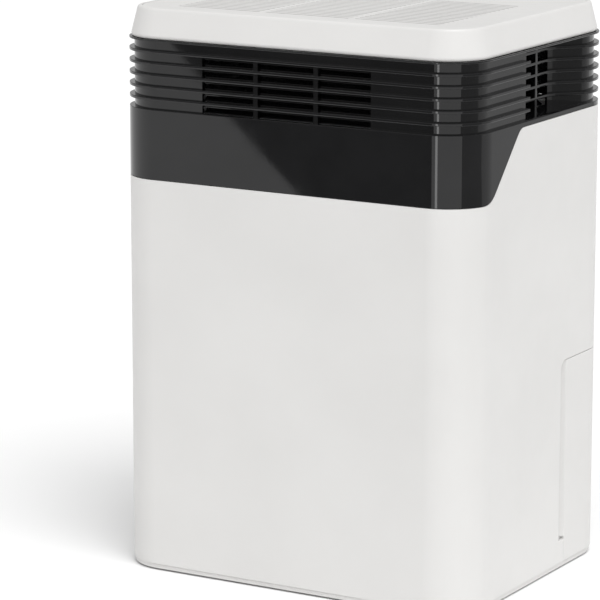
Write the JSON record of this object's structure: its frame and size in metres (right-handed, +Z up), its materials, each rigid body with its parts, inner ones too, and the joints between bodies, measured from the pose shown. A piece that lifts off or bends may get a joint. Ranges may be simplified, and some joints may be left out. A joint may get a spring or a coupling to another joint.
{
  "type": "dehumidifier",
  "caption": "Floor-standing compressor dehumidifier with louvred air outlet, hand scoops in both sides, slatted top, pull-out rear water tank and rear air filter.",
  "frame": {"origin": "on the floor under the middle of the casing", "axes": "+Z up; -Y towards the louvred front with the glossy panel; +Y towards the tank and the filter; +X to the right seen from the front"},
  "size_m": [0.35, 0.277, 0.5],
  "materials": {
    "white_shell": "fine satin moulded plastic",
    "gloss_black": "high gloss",
    "grey_plastic": "satin",
    "dark_plastic": "satin",
    "smoke_lens": "high gloss, smoked",
    "rubber": "matt",
    "steel": "brushed",
    "black_paint": "semi-gloss paint",
    "copper": "drawn copper tube",
    "aluminium": "bare sheet",
    "circuit_board": "solder resist",
    "filter_mesh": "fine nylon mesh",
    "white_foam": "closed-cell foam"
  },
  "bodies": {
    "housing": {"base_pan": "white_shell", "foot_front_left": "rubber", "foot_front_right": "rubber", "foot_rear_left": "rubber", "foot_rear_right": "rubber", "main_casing": "white_shell", "louvre_band": "gloss_black", "top_cap": "white_shell", "top_grille": "white_shell", "control_panel": "white_shell", "display_lens": "smoke_lens", "control_board": "circuit_board", "rear_cover": "white_shell", "cover_screw_1": "steel", "cover_screw_2": "steel", "cover_screw_3": "steel", "cover_screw_4": "steel", "drain_port": "grey_plastic", "cord_gland": "rubber", "humidity_sensor": "circuit_board", "tank_switch": "dark_plastic", "chassis_frame": "grey_plastic", "drip_tray": "grey_plastic", "evaporator_coil": "aluminium", "condenser_coil": "aluminium", "fan_baffle": "grey_plastic", "fan_scroll": "grey_plastic", "fan_motor": "steel", "motor_bracket": "steel", "compressor_shell": "black_paint", "compressor_plate": "black_paint", "compressor_grommet_1": "rubber", "compressor_grommet_2": "rubber", "compressor_grommet_3": "rubber", "terminal_cover": "dark_plastic", "accumulator": "black_paint", "return_bend": "copper", "suction_pipe": "copper", "discharge_pipe": "copper", "liquid_pipe": "copper", "filter_drier": "copper", "capillary_tube": "copper", "run_capacitor": "aluminium", "electrics_box": "dark_plastic", "power_board": "circuit_board"},
    "tank": {"water_tank": "white_shell", "level_window": "smoke_lens", "tank_lid": "grey_plastic"},
    "float": {"tank_float": "white_foam"},
    "filter": {"filter_frame": "white_shell", "filter_mesh": "filter_mesh"},
    "fan": {"fan_wheel": "dark_plastic", "fan_shaft": "steel"},
    "power_key": {"button_power": "grey_plastic"},
    "mode_key": {"button_mode": "grey_plastic"},
    "speed_key": {"button_speed": "grey_plastic"},
    "timer_key": {"button_timer": "grey_plastic"},
    "plug": {"drain_plug": "rubber"}
  },
  "joints": [
    {"name": "tank_slide", "type": "slide", "parent": "housing", "child": "tank", "axis": [0, 1, 0], "range_m": [0, 0.12]},
    {"name": "float_rise", "type": "slide", "parent": "tank", "child": "float", "axis": [0, 0, 1], "range_m": [0, 0.15]},
    {"name": "filter_pull", "type": "slide", "parent": "housing", "child": "filter", "axis": [0, 1, 0], "range_m": [0, 0.05]},
    {"name": "fan_spin", "type": "hinge", "parent": "housing", "child": "fan", "pos_m": [0, 0.0267, 0.309], "axis": [0, 1, 0], "continuous": true},
    {"name": "press_power", "type": "slide", "parent": "housing", "child": "power_key", "axis": [0, 0, -1], "range_m": [0, 0.0012], "stiffness_N_per_m": 500, "springref_m": -0.0006},
    {"name": "press_mode", "type": "slide", "parent": "housing", "child": "mode_key", "axis": [0, 0, -1], "range_m": [0, 0.0012], "stiffness_N_per_m": 500, "springref_m": -0.0006},
    {"name": "press_speed", "type": "slide", "parent": "housing", "child": "speed_key", "axis": [0, 0, -1], "range_m": [0, 0.0012], "stiffness_N_per_m": 500, "springref_m": -0.0006},
    {"name": "press_timer", "type": "slide", "parent": "housing", "child": "timer_key", "axis": [0, 0, -1], "range_m": [0, 0.0012], "stiffness_N_per_m": 500, "springref_m": -0.0006},
    {"name": "plug_pull", "type": "slide", "parent": "housing", "child": "plug", "axis": [0, 1, 0], "range_m": [0, 0.02]}
  ]
}
